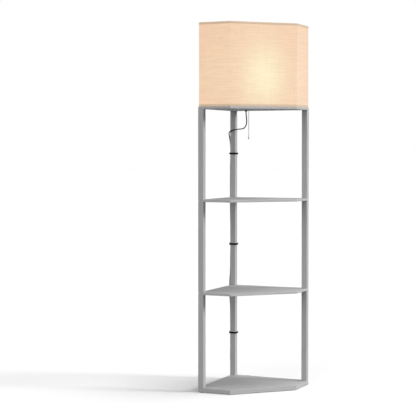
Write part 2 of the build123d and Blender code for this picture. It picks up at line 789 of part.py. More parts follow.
def bead_string(top, count):
    """Beads on a thin wire in one turned piece, hanging from top, with a neck above each bead."""
    with BuildSketch(Plane.XZ.offset(-chain_y)) as bead_profile:
        with BuildLine():
            bead_half = sqrt(bead_radius**2 - neck_radius**2)
            neck = bead_pitch - 2 * bead_half
            for bead in range(count):
                bead_top = top - bead * bead_pitch - neck
                Line((lamp_x + neck_radius, bead_top + neck), (lamp_x + neck_radius, bead_top))
                ThreePointArc(
                    (lamp_x + neck_radius, bead_top),
                    (lamp_x + bead_radius, bead_top - bead_half),
                    (lamp_x + neck_radius, bead_top - 2 * bead_half),
                )
            bottom = top - count * bead_pitch
            Line((lamp_x + neck_radius, bottom), (lamp_x, bottom))
            Line((lamp_x, bottom), (lamp_x, top))
            Line((lamp_x, top), (lamp_x + neck_radius, top))
        make_face()
    revolve(bead_profile.sketch, axis=chain_axis)


swivel_z = deck_bottom - swivel_below_deck
upper_string_top = ring_bottom_z
upper_bead_count = round((upper_string_top - swivel_z + bead_radius) / bead_pitch)
upper_string_bottom = upper_string_top - upper_bead_count * bead_pitch
swivel_centre_z = upper_string_bottom + bead_radius
with BuildPart() as chain_upper:
    bead_string(upper_string_top, upper_bead_count)
    with Locations(Plane(origin=(lamp_x, chain_y, ring_centre_z), z_dir=(0, 1, 0)).location):
        Torus(chain_ring_radius, chain_wire_radius)
export(chain_upper, "chain_upper")

knob_bottom = deck_bottom - chain_drop
knob_top = knob_bottom + knob_length
lower_string_top = upper_string_bottom - chain_play
lower_bead_count = int((lower_string_top - knob_top) / bead_pitch)
with BuildPart() as chain_lower:
    bead_string(lower_string_top, lower_bead_count)
    with BuildSketch(Plane.XZ.offset(-chain_y)):
        with BuildLine():
            string_bottom = lower_string_top - lower_bead_count * bead_pitch
            Polyline(
                (lamp_x, string_bottom),
                (lamp_x + neck_radius, string_bottom),
                (lamp_x + neck_radius, knob_top - 0.5),
                (lamp_x, knob_top - 0.5),
                close=True,
            )
        make_face()
    revolve(axis=chain_axis)
export(chain_lower, "chain_lower")

with BuildPart() as pull_knob:
    knob_radius = knob_diameter / 2
    with BuildSketch(Plane.XZ.offset(-chain_y)):
        with BuildLine():
            Polyline(
                (lamp_x + neck_radius + fit_clearance, knob_bottom + 1.5),
                (lamp_x + neck_radius + fit_clearance, knob_top),
                (lamp_x + 1.8, knob_top),
            )
            Spline(
                (lamp_x + 1.8, knob_top),
                (lamp_x + knob_radius, knob_bottom + 3),
                tangents=((0.3, -1), (0, -1)),
            )
            ThreePointArc(
                (lamp_x + knob_radius, knob_bottom + 3),
                (lamp_x + knob_radius - 0.9, knob_bottom + 0.9),
                (lamp_x + knob_radius - 3, knob_bottom),
            )
            Polyline(
                (lamp_x + knob_radius - 3, knob_bottom),
                (lamp_x, knob_bottom),
                (lamp_x, knob_bottom + 1.5),
                (lamp_x + neck_radius + fit_clearance, knob_bottom + 1.5),
            )
        make_face()
    revolve(axis=chain_axis)
export(pull_knob, "pull_knob")

with BuildPart() as chain_eyelet:
    with BuildSketch(Plane.XY.offset(deck_bottom - eyelet_wall)):
        with Locations((lamp_x, chain_y)):
            Circle(eyelet_radius)
    extrude(amount=shelf_thickness + 2 * eyelet_wall)
    for flange_z in (deck_bottom - eyelet_wall, deck_top):
        with BuildSketch(Plane.XY.offset(flange_z)):
            with Locations((lamp_x, chain_y)):
                Circle(eyelet_radius + eyelet_flange_width)
        extrude(amount=eyelet_wall)
    with BuildSketch(Plane.XY.offset(deck_bottom - eyelet_wall)):
        with Locations((lamp_x, chain_y)):
            Circle(eyelet_bore_diameter / 2)
    extrude(amount=shelf_thickness + 2 * eyelet_wall, mode=Mode.SUBTRACT)
export(chain_eyelet, "chain_eyelet")

# ---------------------------------------------------------------- cord bushing
bushing_bore_radius = cord_radius + fit_clearance
bushing_tip_z = deck_bottom - bushing_head_height - bushing_tip_height
bushing_top_z = deck_top + bushing_rise
bushing_axis = Axis((bushing_x, bushing_y, 0), (0, 0, 1))
with BuildPart() as cord_bushing:
    with BuildSketch(Plane.XZ.offset(-bushing_y)):
        with BuildLine():
            Polyline(
                (bushing_x + bushing_bore_radius, bushing_tip_z),
                (bushing_x + bushing_tip_diameter / 2, bushing_tip_z),
                (bushing_x + bushing_head_diameter / 2 - 0.6, deck_bottom - bushing_head_height),
                (bushing_x + bushing_head_diameter / 2, deck_bottom - bushing_head_height + 0.6),
                (bushing_x + bushing_head_diameter / 2, deck_bottom),
                (bushing_x + bushing_body_diameter / 2, deck_bottom),
                (bushing_x + bushing_body_diameter / 2, bushing_top_z - 1),
                (bushing_x + bushing_body_diameter / 2 - 1, bushing_top_z),
                (bushing_x + bushing_bore_radius, bushing_top_z),
                close=True,
            )
        make_face()
    revolve(axis=bushing_axis)
export(cord_bushing, "cord_bushing")

with BuildPart() as bushing_nut:
    with BuildSketch(Plane.XY.offset(deck_top)):
        with Locations((bushing_x, bushing_y)):
            RegularPolygon(radius=bushing_nut_width / 2, side_count=6, major_radius=False)
            Circle(bushing_hole_radius, mode=Mode.SUBTRACT)
    extrude(amount=bushing_nut_height)
export(bushing_nut, "bushing_nut")

# ---------------------------------------------------------------- cord
entry_start = holder_radius - 6
entry_z = deck_top + cord_entry_height


def at(from_left_wall, from_right_wall, z):
    """A point of the cord's route, by its distances from the two walls and its height."""
    x, y = plan(from_left_wall, from_right_wall)
    return Vector(x, y, z)


inside_points = [
    Vector(lamp_x, lamp_y, entry_z) + Vector(entry_direction) * entry_start,
    Vector(lamp_x, lamp_y, entry_z) + Vector(entry_direction) * (entry_start + 19),
    at(117.2, 178.7, entry_z + 2.5),
    at(105.9, 163.9, entry_z + 10.5),
    at(110.3, 145.2, entry_z + 19.5),
    at(114.3, 128.2, entry_z + 21.5),
    at(bushing_from_walls, bushing_from_walls, entry_z + 9),
]

out = bushing_from_walls
tied = -cord_from_post - cord_radius  # where a strap holds the cord against the post
hang_points = [
    at(out, out, deck_bottom - 22),
    at(out + 3, out - 2.5, deck_bottom - 43),
    at(out + 1, out - 3, deck_bottom - 65),
    at(out - 16, out - 18, deck_bottom - 81),
    at(out - 44, out - 44, deck_bottom - 83),
    at(out - 69, out - 64, deck_bottom - 83.5),
    at(27, 37, deck_bottom - 85.5),
    at(8, 32.5, deck_bottom - 89),
    at(-6.5, 26, deck_bottom - 98),
    at(-7.5, 15, deck_bottom - 117),
    at(-4.5, 10, deck_bottom - 144),
]


def strap_gap(upper, share):
    """The height at this share of the way down from one strap to the next."""
    return strap_heights[upper] + share * (strap_heights[upper - 1] - strap_heights[upper])


drop_points = [
    at(tied, 9, strap_heights[2]),
    at(-4.2, 10.5, strap_gap(2, 0.12)),
    at(-5.4, 9, strap_gap(2, 0.27)),
    at(-4.6, 11, strap_gap(2, 0.42)),
    at(-3.8, 12.5, strap_gap(2, 0.57)),
    at(-4.4, 9.5, strap_gap(2, 0.72)),
    at(-3.6, 7.5, strap_gap(2, 0.86)),
    at(tied, 9, strap_heights[1]),
    at(-4, 10.5, strap_gap(1, 0.14)),
    at(-4.2, 9.5, strap_gap(1, 0.29)),
    at(-7, 13, mid_shelf_top + 13),
    at(-7.6, 12, mid_shelf_bottom - 26),
    at(-4.6, 9, strap_gap(1, 0.69)),
    at(-3.6, 10.5, strap_gap(1, 0.84)),
    at(tied, 9, strap_heights[0]),
    at(-4.4, 7, 0.74 * strap_heights[0]),
    at(-6.2, 5.5, 0.48 * strap_heights[0]),
    at(-7.5, -1, 58),
    at(-9, -10, 30),
]

# The spare length lies on the floor behind the base board as a flat hank of one and a half loops:
# side A out, side B back and up to the second layer, side A out again on top, then to the plug.
layer_0 = cord_radius + hole_clearance + hank_tie_thickness
layer_1 = layer_0 + hank_layer
end_corner_count = 5
end_slope = degrees(
    atan2(hank_end_radius - hank_shoulder[1] + 1.2, hank_half_length - hank_shoulder[0])
)
end_step = (180 + 2 * end_slope) / end_corner_count
end_corner_reach = hank_end_radius / cos(radians(end_step / 2))


def on_hank(along, across, z):
    """A point of the hank, from its middle: along its length and across it."""
    return at(hank_middle[0] + along, hank_middle[1] + across, z)


def hank_end(direction, z):
    """The corners of the turn at one end, in the order the cord passes them."""
    corners = []
    for index in range(end_corner_count):
        angle = radians((end_corner_count - 1 - 2 * index) / 2 * end_step)
        along = hank_half_length + end_corner_reach * cos(angle)
        across = end_corner_reach * sin(angle)
        corners.append(on_hank(direction * along, direction * across, z))
    return corners


shoulder_along, shoulder_across = hank_shoulder
climb = hank_layer / 6
hank_points = [
    at(-6, -18, 13),
    at(7, -22.5, 5.5),
    at(24, -18.5, layer_0),
    at(44, -11.5, layer_0),
    on_hank(-hank_half_length + 2, end_corner_reach - 0.6, layer_0),
    on_hank(-shoulder_along, shoulder_across, layer_0),
    on_hank(0, hank_waist, layer_0),
    on_hank(shoulder_along, shoulder_across, layer_0),
    *hank_end(1, layer_0),
    on_hank(shoulder_along, -shoulder_across, layer_0 + climb),
    on_hank(0, -hank_waist, (layer_0 + layer_1) / 2),
    on_hank(-shoulder_along, -shoulder_across, layer_1 - climb),
    *hank_end(-1, layer_1),
    on_hank(-shoulder_along, shoulder_across, layer_1),
    on_hank(0, hank_waist, layer_1),
    on_hank(shoulder_along, shoulder_across, layer_1),
    on_hank(hank_half_length - 2, end_corner_reach - 0.6, layer_1),
    on_hank(hank_half_length + 15, end_corner_reach + 2, layer_1 - 0.4),
    on_hank(hank_half_length + 32, end_corner_reach, plug_thickness / 2 + 0.8),
    on_hank(hank_half_length + 50, end_corner_reach - 5, plug_thickness / 2),
    on_hank(hank_half_length + 68, end_corner_reach - 8, plug_thickness / 2),
]


def corner_radii(points):
    """The arc that each corner of a route gets: as large as its two runs allow."""
    radii = []
    for before, corner, after in zip(points, points[1:], points[2:]):
        turn = radians((corner - before).get_angle(after - corner))
        shorter = min((corner - before).length, (after - corner).length)
        radii.append(0.45 * shorter / tan(turn / 2))
    return radii


cord_route = inside_points + hang_points + drop_points + hank_points
route_radii = corner_radii(cord_route)


def build_cord(label, first, last):
    """The cord from the middle of the run before point first to the middle of the run after
    point last, as a tube along straight runs joined by tangent arcs."""
    points = cord_route[first : last + 1]
    if first > 0:
        points = [(cord_route[first - 1] + cord_route[first]) / 2, *points]
    if last < len(cord_route) - 1:
        points = [*points, (cord_route[last] + cord_route[last + 1]) / 2]
    radii = route_radii[max(first - 1, 0) : min(last, len(route_radii))]
    with BuildPart() as cord:
        with BuildLine() as route:
            FilletPolyline(*points, radius=radii)
        path = route.wires()[0]
        with BuildSketch(Plane(origin=path @ 0, z_dir=path % 0)) as cord_section:
            Circle(cord_radius)
        sweep(cord_section.sketch, path=path)
    export(cord, label)
    share = cord.part.volume / (pi * cord_radius**2 * path.length)
    print(f"{label}: length {path.length:.1f}, least radius {min(radii):.1f}, volume share {share:.4f}")
    print("  radii", [round(radius) for radius in radii])
    return path


inside_count = len(inside_points)
hang_end = inside_count + len(hang_points)
drop_end = hang_end + len(drop_points)
cord_paths = [
    build_cord("cord_inside", 0, inside_count - 1),
    build_cord("cord_hang", inside_count, hang_end - 1),
    build_cord("cord_drop", hang_end, drop_end - 1),
    build_cord("cord_hank", drop_end, len(cord_route) - 1),
]


def least_gap(path):
    """The least free space between parts of a route that are far apart along it."""
    count = int(path.length / 2)
    places = [path @ (index / count) for index in range(count + 1)]
    apart = int(7 * cord_diameter / 2)
    gaps = [
        (places[first] - places[second]).length
        for first in range(count + 1)
        for second in range(first + apart, count + 1)
    ]
    return min(gaps) - cord_diameter


print(f"hank: least gap to itself {least_gap(cord_paths[-1]):.2f}")
print(f"whole cord {sum(path.length for path in cord_paths):.0f}")

# ---------------------------------------------------------------- straps and tie
post_x, post_y = post_centres["back"]
strap_corners = [
    plan(post_edge_round, post_edge_round),
    plan(post_width - post_edge_round, post_edge_round),
    plan(post_width - post_edge_round, post_width - post_edge_round),
    plan(post_edge_round, post_width - post_edge_round),
    plan(post_edge_round - cord_from_post - cord_diameter - cord_slack, 9),
]


def strap_outline(growth, mode=Mode.ADD):
    """The line of a strap round the back post and the cord, moved out by growth."""
    with BuildSketch(mode=Mode.PRIVATE) as loop:
        with BuildLine() as corners_line:
            Polyline(*strap_corners, close=True)
        make_face(corners_line.edges())
        offset(amount=post_edge_round + growth)
    add(loop.sketch, mode=mode)


with BuildPart() as cord_straps:
    for strap_z in strap_heights:
        # the second turn stops short on the wall side, where the strap's end shows
        with BuildSketch(Plane.XY.offset(strap_z - strap_width / 2)) as both_turns:
            strap_outline(strap_clearance + 2 * strap_thickness)
            strap_outline(strap_clearance, mode=Mode.SUBTRACT)
        extrude(both_turns.sketch, amount=strap_width)
        with BuildSketch(Plane.XY.offset(strap_z - strap_width / 2)) as strap_end:
            with BuildSketch(mode=Mode.PRIVATE) as end_window:
                with Locations(plan(post_width / 2, -post_width / 2)):
                    Rectangle(post_width - 9, post_width, rotation=45)
            add(end_window.sketch)
            strap_outline(strap_clearance + strap_thickness, mode=Mode.SUBTRACT)
        extrude(strap_end.sketch, amount=strap_width, mode=Mode.SUBTRACT)
export(cord_straps, "cord_straps")

tie_plane = Plane(
    origin=on_hank(hank_tie_width / 2, 0, 0),
    x_dir=(-1, -1, 0),
    z_dir=(-1, 1, 0),
)
waist_slope = atan2(shoulder_across - hank_waist, shoulder_along)
waist_run = 0.45 * sqrt((shoulder_across - hank_waist) ** 2 + shoulder_along**2)
tied_across = hank_waist + waist_run / tan(waist_slope) * (1 / cos(waist_slope) - 1)
tied_cords = [
    (tied_across, layer_0),
    (tied_across, layer_1),
    (-tied_across, (layer_0 + layer_1) / 2),
]
with BuildPart() as hank_tie:
    with BuildSketch(mode=Mode.PRIVATE) as tie_outer:
        with Locations(*[(across, z) for across, z in tied_cords]):
            Circle(cord_radius + hole_clearance + hank_tie_thickness)
        make_hull()
    with BuildSketch(mode=Mode.PRIVATE) as tie_inner:
        with Locations(*[(across, z) for across, z in tied_cords]):
            Circle(cord_radius + hole_clearance)
        make_hull()
    with BuildSketch(tie_plane):
        add(tie_outer.sketch)
        head_across = tied_across + cord_radius + 1.6
        with Locations((head_across, (layer_0 + layer_1) / 2)):
            Rectangle(3.2, 5)
        add(tie_inner.sketch, mode=Mode.SUBTRACT)
    extrude(amount=hank_tie_width)
export(hank_tie, "hank_tie")

# ---------------------------------------------------------------- plug
cord_end = hank_points[-1]
plug_direction = (hank_points[-1] - hank_points[-2]).normalized()
plug_plane = Plane(origin=cord_end, x_dir=plug_direction.cross(Vector(0, 0, -1)), z_dir=plug_direction)
with BuildPart() as plug_body:
    with BuildSketch(plug_plane):
        Circle(cord_radius + 1)
    with BuildSketch(plug_plane.offset(plug_neck_length)):
        RectangleRounded(14, 9, 3)
    loft()
    with BuildSketch(plug_plane.offset(plug_neck_length)) as plug_section:
        RectangleRounded(plug_width, plug_thickness, 4)
    extrude(plug_section.sketch, amount=plug_body_length)
    with BuildSketch(plug_plane.offset(plug_neck_length + plug_body_length)) as blade_roots:
        with Locations((-blade_spacing / 2, 0)):
            Rectangle(blade_thickness + fit_clearance, wide_blade_width + fit_clearance)
        with Locations((blade_spacing / 2, 0)):
            Rectangle(blade_thickness + fit_clearance, blade_width + fit_clearance)
    extrude(blade_roots.sketch, amount=-blade_root, mode=Mode.SUBTRACT)
export(plug_body, "plug_body")

with BuildPart() as plug_blades:
    blade_plane = plug_plane.offset(plug_neck_length + plug_body_length - blade_root)
    with BuildSketch(blade_plane):
        with Locations((-blade_spacing / 2, 0)):
            Rectangle(blade_thickness, wide_blade_width)
        with Locations((blade_spacing / 2, 0)):
            Rectangle(blade_thickness, blade_width)
    extrude(amount=blade_root + blade_length)
    hole_plane = Plane(
        origin=plug_plane.from_local_coords(
            Vector(0, 0, plug_neck_length + plug_body_length + blade_length - 4.2)
        ),
        x_dir=plug_direction,
        z_dir=plug_plane.x_dir,
    )
    with BuildSketch(hole_plane):
        Circle(1.6)
    extrude(amount=blade_spacing, both=True, mode=Mode.SUBTRACT)
export(plug_blades, "plug_blades")
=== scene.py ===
import bpy
import json
from math import atan2, cos, pi, radians, sin, sqrt, tan
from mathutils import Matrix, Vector


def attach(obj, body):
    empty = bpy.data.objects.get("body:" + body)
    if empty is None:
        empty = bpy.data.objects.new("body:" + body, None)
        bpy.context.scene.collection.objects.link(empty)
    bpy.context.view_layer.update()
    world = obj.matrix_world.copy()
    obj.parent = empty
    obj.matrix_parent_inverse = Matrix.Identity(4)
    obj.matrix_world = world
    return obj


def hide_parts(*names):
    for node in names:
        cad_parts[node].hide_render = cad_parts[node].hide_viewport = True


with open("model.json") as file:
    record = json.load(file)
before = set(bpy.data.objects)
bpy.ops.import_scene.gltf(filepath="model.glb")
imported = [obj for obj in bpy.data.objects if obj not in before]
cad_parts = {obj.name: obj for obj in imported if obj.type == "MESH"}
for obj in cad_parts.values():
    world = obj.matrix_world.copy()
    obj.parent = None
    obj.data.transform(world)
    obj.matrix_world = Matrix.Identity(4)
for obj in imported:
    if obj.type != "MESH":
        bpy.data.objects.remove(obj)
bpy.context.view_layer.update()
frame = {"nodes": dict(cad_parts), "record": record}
nodes = frame["nodes"]

# ------------------------------------------------------- the part's own measures, in metres
WALL_SIDE, SHORT_SIDE = 0.372, 0.152
HALF_DEPTH = (WALL_SIDE + SHORT_SIDE) / sqrt(2) / 2
SHADE_BOTTOM, SHADE_TOP = 1.238, 1.600
SHADE_CORNER = 0.012  # rounding of the shade's upright corners
HEM = 0.010  # height of either hem

# ------------------------------------------------------- more of them, in millimetres
LAMP = 165.0  # the lamp's axis, from either wall
BULB_HEIGHT = 1370.0
CORD_ENTRY_HEIGHT = 1248.0
DECK_BOTTOM = 1228.0
POST, POST_EDGE = 25.0, 1.5  # side of the square posts and rounding of their edges
CORD_RADIUS = 2.5
STRAP_HEIGHTS = (216.0, 622.0, 1035.0)


# ------------------------------------------------------- outlines
def at(from_left_wall, from_right_wall, z):
    """A place by its distances from the two walls and its height, given in millimetres."""
    x = (from_left_wall - from_right_wall) / sqrt(2) / 1000
    y = HALF_DEPTH - (from_left_wall + from_right_wall) / sqrt(2) / 1000
    return Vector((x, y, z / 1000))


def plan_corners(inset):
    """The five corners of the plan, from the back one towards the right, all sides moved in."""
    far = WALL_SIDE - inset
    short = SHORT_SIDE + inset - inset * sqrt(2)
    pairs = [(inset, inset), (far, inset), (far, short), (short, far), (inset, far)]
    return [at(1000 * u, 1000 * v, 0).to_2d() for u, v in pairs]


def arc(centre, radius, first, last, steps):
    """Pairs of a point and its outward normal, the short way round between two angles."""
    turn = (last - first + pi) % (2 * pi) - pi
    places = []
    for k in range(steps + 1):
        angle = first + turn * k / steps
        outward = Vector((cos(angle), sin(angle)))
        places.append((centre + outward * radius, outward))
    return places


def rounded(corners, radius, arc_steps, side_step):
    """A closed outline with rounded corners, as pairs of a point and its outward normal."""
    places = []
    count = len(corners)
    for i, corner in enumerate(corners):
        before = (corners[i - 1] - corner).normalized()
        after = (corners[(i + 1) % count] - corner).normalized()
        half = before.angle(after) / 2
        centre = corner + (before + after).normalized() * (radius / sin(half))
        start = corner + before * (radius / tan(half)) - centre
        end = corner + after * (radius / tan(half)) - centre
        places += arc(centre, radius, atan2(start.y, start.x), atan2(end.y, end.x), arc_steps)
        here, outward = places[-1]
        following = corners[(i + 1) % count]
        turned = (corner - following).normalized()
        onward = (corners[(i + 2) % count] - following).normalized()
        there = following + turned * (radius / tan(turned.angle(onward) / 2))
        pieces = max(1, round((there - here).length / side_step))
        for k in range(1, pieces):
            places.append((here.lerp(there, k / pieces), outward))
    return places


# ------------------------------------------------------- nodes of the materials
NUMBERS, VECTORS = "ShaderNodeMath", "ShaderNodeVectorMath"


def new_material(name):
    material = bpy.data.materials.new(name)
    material.use_nodes = True
    tree = material.node_tree
    return material, tree, tree.nodes["Principled BSDF"]


def fill(tree, node, inputs):
    """Link a node's inputs to sockets or give them plain values, by name or by position."""
    for key, source in inputs.items():
        if isinstance(source, bpy.types.NodeSocket):
            tree.links.new(source, node.inputs[key])
        else:
            node.inputs[key].default_value = source
    return node


def add_node(tree, kind, inputs):
    return fill(tree, tree.nodes.new(kind), inputs)


def operate(tree, kind, operation, *sources, **named):
    """The outputs of a maths node that works on sockets or plain values."""
    node = tree.nodes.new(kind)
    node.operation = operation
    return fill(tree, node, {**dict(enumerate(sources)), **named}).outputs


def stretched_noise(tree, scale, stretch, detail=3.0, rough=0.55):
    """Noise in object coordinates, drawn out along the axes where the stretch is below one."""
    coords = tree.nodes.new("ShaderNodeTexCoord").outputs["Object"]
    mapped = add_node(tree, "ShaderNodeMapping", {"Vector": coords, "Scale": stretch})
    inputs = {"Scale": scale, "Detail": detail, "Roughness": rough}
    noise = add_node(tree, "ShaderNodeTexNoise", {"Vector": mapped.outputs["Vector"], **inputs})
    return noise.outputs["Fac"]


def ramp(tree, value, low, high, start=0.3, end=0.7):
    """A colour between low and high, where the value goes from start to end."""
    node = add_node(tree, "ShaderNodeValToRGB", {"Fac": value})
    for element, position, colour in zip(node.color_ramp.elements, (start, end), (low, high)):
        element.position = position
        element.color = (*colour, 1)
    return node.outputs["Color"]


def to_range(tree, value, low, high, start=0.3, end=0.7):
    """A number between low and high, where the value goes from start to end."""
    limits = {"From Min": start, "From Max": end, "To Min": low, "To Max": high}
    return add_node(tree, "ShaderNodeMapRange", {"Value": value, **limits}).outputs["Result"]


def bump(tree, shader, height, strength, distance):
    inputs = {"Height": height, "Strength": strength, "Distance": distance}
    node = add_node(tree, "ShaderNodeBump", inputs)
    tree.links.new(node.outputs["Normal"], shader.inputs["Normal"])


# ------------------------------------------------------- kinds of material
def surface(
    name,
    colour,
    rough,
    spread=0.06,
    metallic=0.0,
    scale=60.0,
    stretch=(1, 1, 1),
    grain=0.05,
    grain_scale=900.0,
    depth=0.0002,
    rough_spread=0.08,
    specular=0.5,
):
    """A material whose colour, roughness and bump vary at a scale of its own."""
    material, tree, shader = new_material(name)
    broad = stretched_noise(tree, scale, stretch)
    fine = stretched_noise(tree, grain_scale, stretch, detail=2.0)
    low = [c * (1 - spread) for c in colour]
    high = [c * (1 + spread) for c in colour]
    inputs = {
        "Base Color": ramp(tree, broad, low, high),
        "Roughness": to_range(tree, fine, rough - rough_spread, rough + rough_spread),
        "Metallic": metallic,
        "Specular IOR Level": specular,
    }
    fill(tree, shader, inputs)
    bump(tree, shader, fine, grain, depth)
    return material


# painted light on the shade falls off from this point, in place of the bulb's light through the
# cloth
BULB = at(LAMP, LAMP, BULB_HEIGHT)
GLOW_STRETCH = (1, 1, 0.74)  # the painted light is drawn out further upright than sideways, as the liner would spread real light
GLOW_FALL_OFF = 4.0
GLOW_STRENGTH = 0.00137


def glow(tree, painted_even, painted_from_bulb):
    """Painted light for a shade's emission, in place of the bulb's light through it: a part the
    same everywhere and one that falls off from the bulb.
    """
    coords = tree.nodes.new("ShaderNodeTexCoord").outputs["Object"]
    facing = tree.nodes.new("ShaderNodeNewGeometry").outputs["True Normal"]
    away = operate(tree, VECTORS, "SUBTRACT", coords, BULB)["Vector"]
    across = operate(tree, VECTORS, "DOT_PRODUCT", away, facing)["Value"]
    straight = operate(tree, NUMBERS, "ABSOLUTE", across)["Value"]
    drawn_out = operate(tree, VECTORS, "MULTIPLY", away, GLOW_STRETCH)["Vector"]
    length = operate(tree, VECTORS, "LENGTH", drawn_out)["Value"]
    fall_off = operate(tree, NUMBERS, "POWER", length, GLOW_FALL_OFF)["Value"]
    share = operate(tree, NUMBERS, "DIVIDE", straight, fall_off)["Value"]
    scaled = operate(tree, NUMBERS, "MULTIPLY", share, GLOW_STRENGTH)["Value"]
    return operate(tree, VECTORS, "MULTIPLY_ADD", scaled, painted_from_bulb, painted_even)["Vector"]


THREAD_SCALE = 620
THREAD_CONTRAST = 0.16  # how much darker the cloth is between its threads


def cloth(name, colour, painted_even, painted_from_bulb, weave=1.0):
    """Linen: uneven threads both ways, over painted light in its emission in place of the bulb's
    light through it.
    """
    material, tree, shader = new_material(name)
    upright = stretched_noise(tree, THREAD_SCALE, (1, 1, 0.045), detail=2.0)
    level = stretched_noise(tree, THREAD_SCALE, (0.045, 0.045, 1), detail=2.0)
    both = operate(tree, NUMBERS, "ADD", upright, level)["Value"]
    threads = operate(tree, NUMBERS, "MULTIPLY", both, 0.5)["Value"]
    slubs = stretched_noise(tree, 190, (0.055, 0.055, 1), detail=1.5)
    slubs_up = stretched_noise(tree, 150, (1, 1, 0.03), detail=1.5)
    # painted light for the emission, standing in for the bulb's light through the cloth
    light = glow(tree, painted_even, painted_from_bulb)
    # how much each pattern lightens and darkens the painted light
    for pattern, share in ((threads, 0.045), (slubs, 0.035), (slubs_up, 0.012)):
        shade = to_range(tree, pattern, 1 - share * weave, 1 + share * weave, 0.36, 0.64)
        light = operate(tree, VECTORS, "SCALE", light, Scale=shade)["Vector"]
    low = [c * (1 - THREAD_CONTRAST * weave) for c in colour]
    inputs = {
        "Base Color": ramp(tree, threads, low, colour, 0.38, 0.6),
        "Roughness": 0.85,
        "Sheen Weight": 0.15,
        "Emission Color": light,
        "Emission Strength": 1.0,
    }
    fill(tree, shader, inputs)
    bump(tree, shader, threads, 0.35, 0.0004)
    return material


def lit_glass(name):
    """The frosted globe of the bulb, lit from inside."""
    material, tree, shader = new_material(name)
    frost = stretched_noise(tree, 700, (1, 1, 1))
    inputs = {
        "Base Color": (0.95, 0.93, 0.88, 1),
        "Roughness": to_range(tree, frost, 0.5, 0.62),
        "Emission Color": ramp(tree, frost, (1.0, 0.82, 0.58), (1.0, 0.86, 0.64)),
        "Emission Strength": 5.0,
    }
    fill(tree, shader, inputs)
    return material


def short_pile(name):
    """Hook-and-loop tape: a short black pile."""
    material, tree, shader = new_material(name)
    pile = stretched_noise(tree, 1400, (1, 1, 1), detail=4.0, rough=0.7)
    inputs = {
        "Base Color": ramp(tree, pile, (0.003, 0.003, 0.003), (0.016, 0.016, 0.017)),
        "Roughness": 0.95,
        "Specular IOR Level": 0.08,
    }
    fill(tree, shader, inputs)
    bump(tree, shader, pile, 0.9, 0.0006)
    return material


# ------------------------------------------------------- materials, by the slots of the record
# paint over wood: its grain runs across the boards from left to right and along the posts
wood = {"spread": 0.05, "scale": 170, "grain": 0.2, "depth": 0.0004, "specular": 0.12}
board_grain = {"stretch": (0.05, 1, 1), "grain_scale": 420, "rough_spread": 0.06}
post_grain = {"stretch": (1, 1, 0.05), "grain_scale": 520, "rough_spread": 0.07}
post_paint = surface("post_paint", (0.405, 0.405, 0.405), 0.72, **wood, **post_grain)

metal = {"metallic": 1.0}
white = {"spread": 0.03}
jacket = {"spread": 0.12, "grain": 0.1, "grain_scale": 1600, "specular": 0.12}
finishes = {
    "grey_paint": surface("grey_paint", (0.42, 0.42, 0.42), 0.75, **wood, **board_grain),
    "pad_felt": surface("pad_black", (0.05, 0.05, 0.052), 0.85, grain=0.3),
    "zinc_steel": surface("zinc", (0.62, 0.62, 0.6), 0.34, scale=220, grain=0.1, **metal),
    "white_wire": surface(
        "white_wire", (0.82, 0.82, 0.8), 0.38, grain=0.15, grain_scale=1500, **white
    ),
    "white_plastic": surface("white_plastic", (0.8, 0.8, 0.78), 0.42, grain=0.06, **white),
    "nickel_brass": surface("nickel_brass", (0.78, 0.7, 0.5), 0.25, scale=300, **metal),
    "bulb_metal": surface("bulb_metal", (0.74, 0.74, 0.75), 0.28, scale=300, **metal),
    "bulb_black": surface("bulb_black", (0.02, 0.02, 0.022), 0.2),
    "bulb_white": surface("bulb_white", (0.84, 0.84, 0.83), 0.35, spread=0.02, grain=0.03),
    "bulb_glow": lit_glass("bulb_glow"),
    "lever_steel": surface(
        "lever_steel", (0.58, 0.58, 0.58), 0.36, scale=400, stretch=(1, 6, 1), **metal
    ),
    "chain_steel": surface("chain_steel", (0.2, 0.2, 0.205), 0.3, scale=500, **metal),
    "knob_metal": surface("knob_metal", (0.22, 0.22, 0.225), 0.33, scale=500, **metal),
    "black_plastic": surface(
        "black_plastic", (0.018, 0.018, 0.019), 0.45, grain=0.12, grain_scale=1300
    ),
    "cord_jacket": surface("cord_jacket", (0.012, 0.012, 0.013), 0.55, **jacket),
    "strap_black": short_pile("strap_pile"),
    "plug_brass": surface("plug_brass", (0.8, 0.66, 0.36), 0.24, scale=260, **metal),
    # the cloths' last two colours are painted light for the emission, uniform and falling off from
    # the bulb, in place of the bulb's light through the cloth; the linen's own colour is near black
    # so the painted light makes its look, and the hems' weaker painted light stands in for less
    # light through the folded tape
    "linen": cloth("linen", (0.06, 0.05, 0.04), (0.8, 0.535, 0.362), (0.2, 0.49, 0.31)),
    "hem_cloth": cloth(
        "hem_cloth", (0.2, 0.175, 0.14), (0.44, 0.3, 0.2), (0.2, 0.24, 0.15), weave=1.3
    ),
    "liner": cloth(
        "liner", (0.7, 0.68, 0.62), (0.25, 0.22, 0.17), (0.5, 0.45, 0.35), weave=0.2
    ),
}
finishes["eyelet_metal"] = finishes["chain_steel"]

slot_of = {entry["node"]: entry["material_slot"] for entry in frame["record"]["subparts"]}
for name, node in nodes.items():
    slot = slot_of[name]
    is_post = slot == "grey_paint" and "post" in name
    material = post_paint if is_post else finishes[slot]
    if not node.material_slots:
        node.data.materials.append(material)
    for place in node.material_slots:
        place.material = material


# ------------------------------------------------------- helpers for pieces
def make_piece(name, verts, faces, slot, smooth=True):
    """A mesh piece with the finish of its slot, fixed to the lamp."""
    mesh = bpy.data.meshes.new(name)
    mesh.from_pydata([tuple(v) for v in verts], [], faces)
    mesh.materials.append(finishes[slot])
    for polygon in mesh.polygons:
        polygon.use_smooth = smooth
    mesh.update()
    piece = bpy.data.objects.new(name, mesh)
    bpy.context.scene.collection.objects.link(piece)
    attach(piece, "lamp")
    return piece


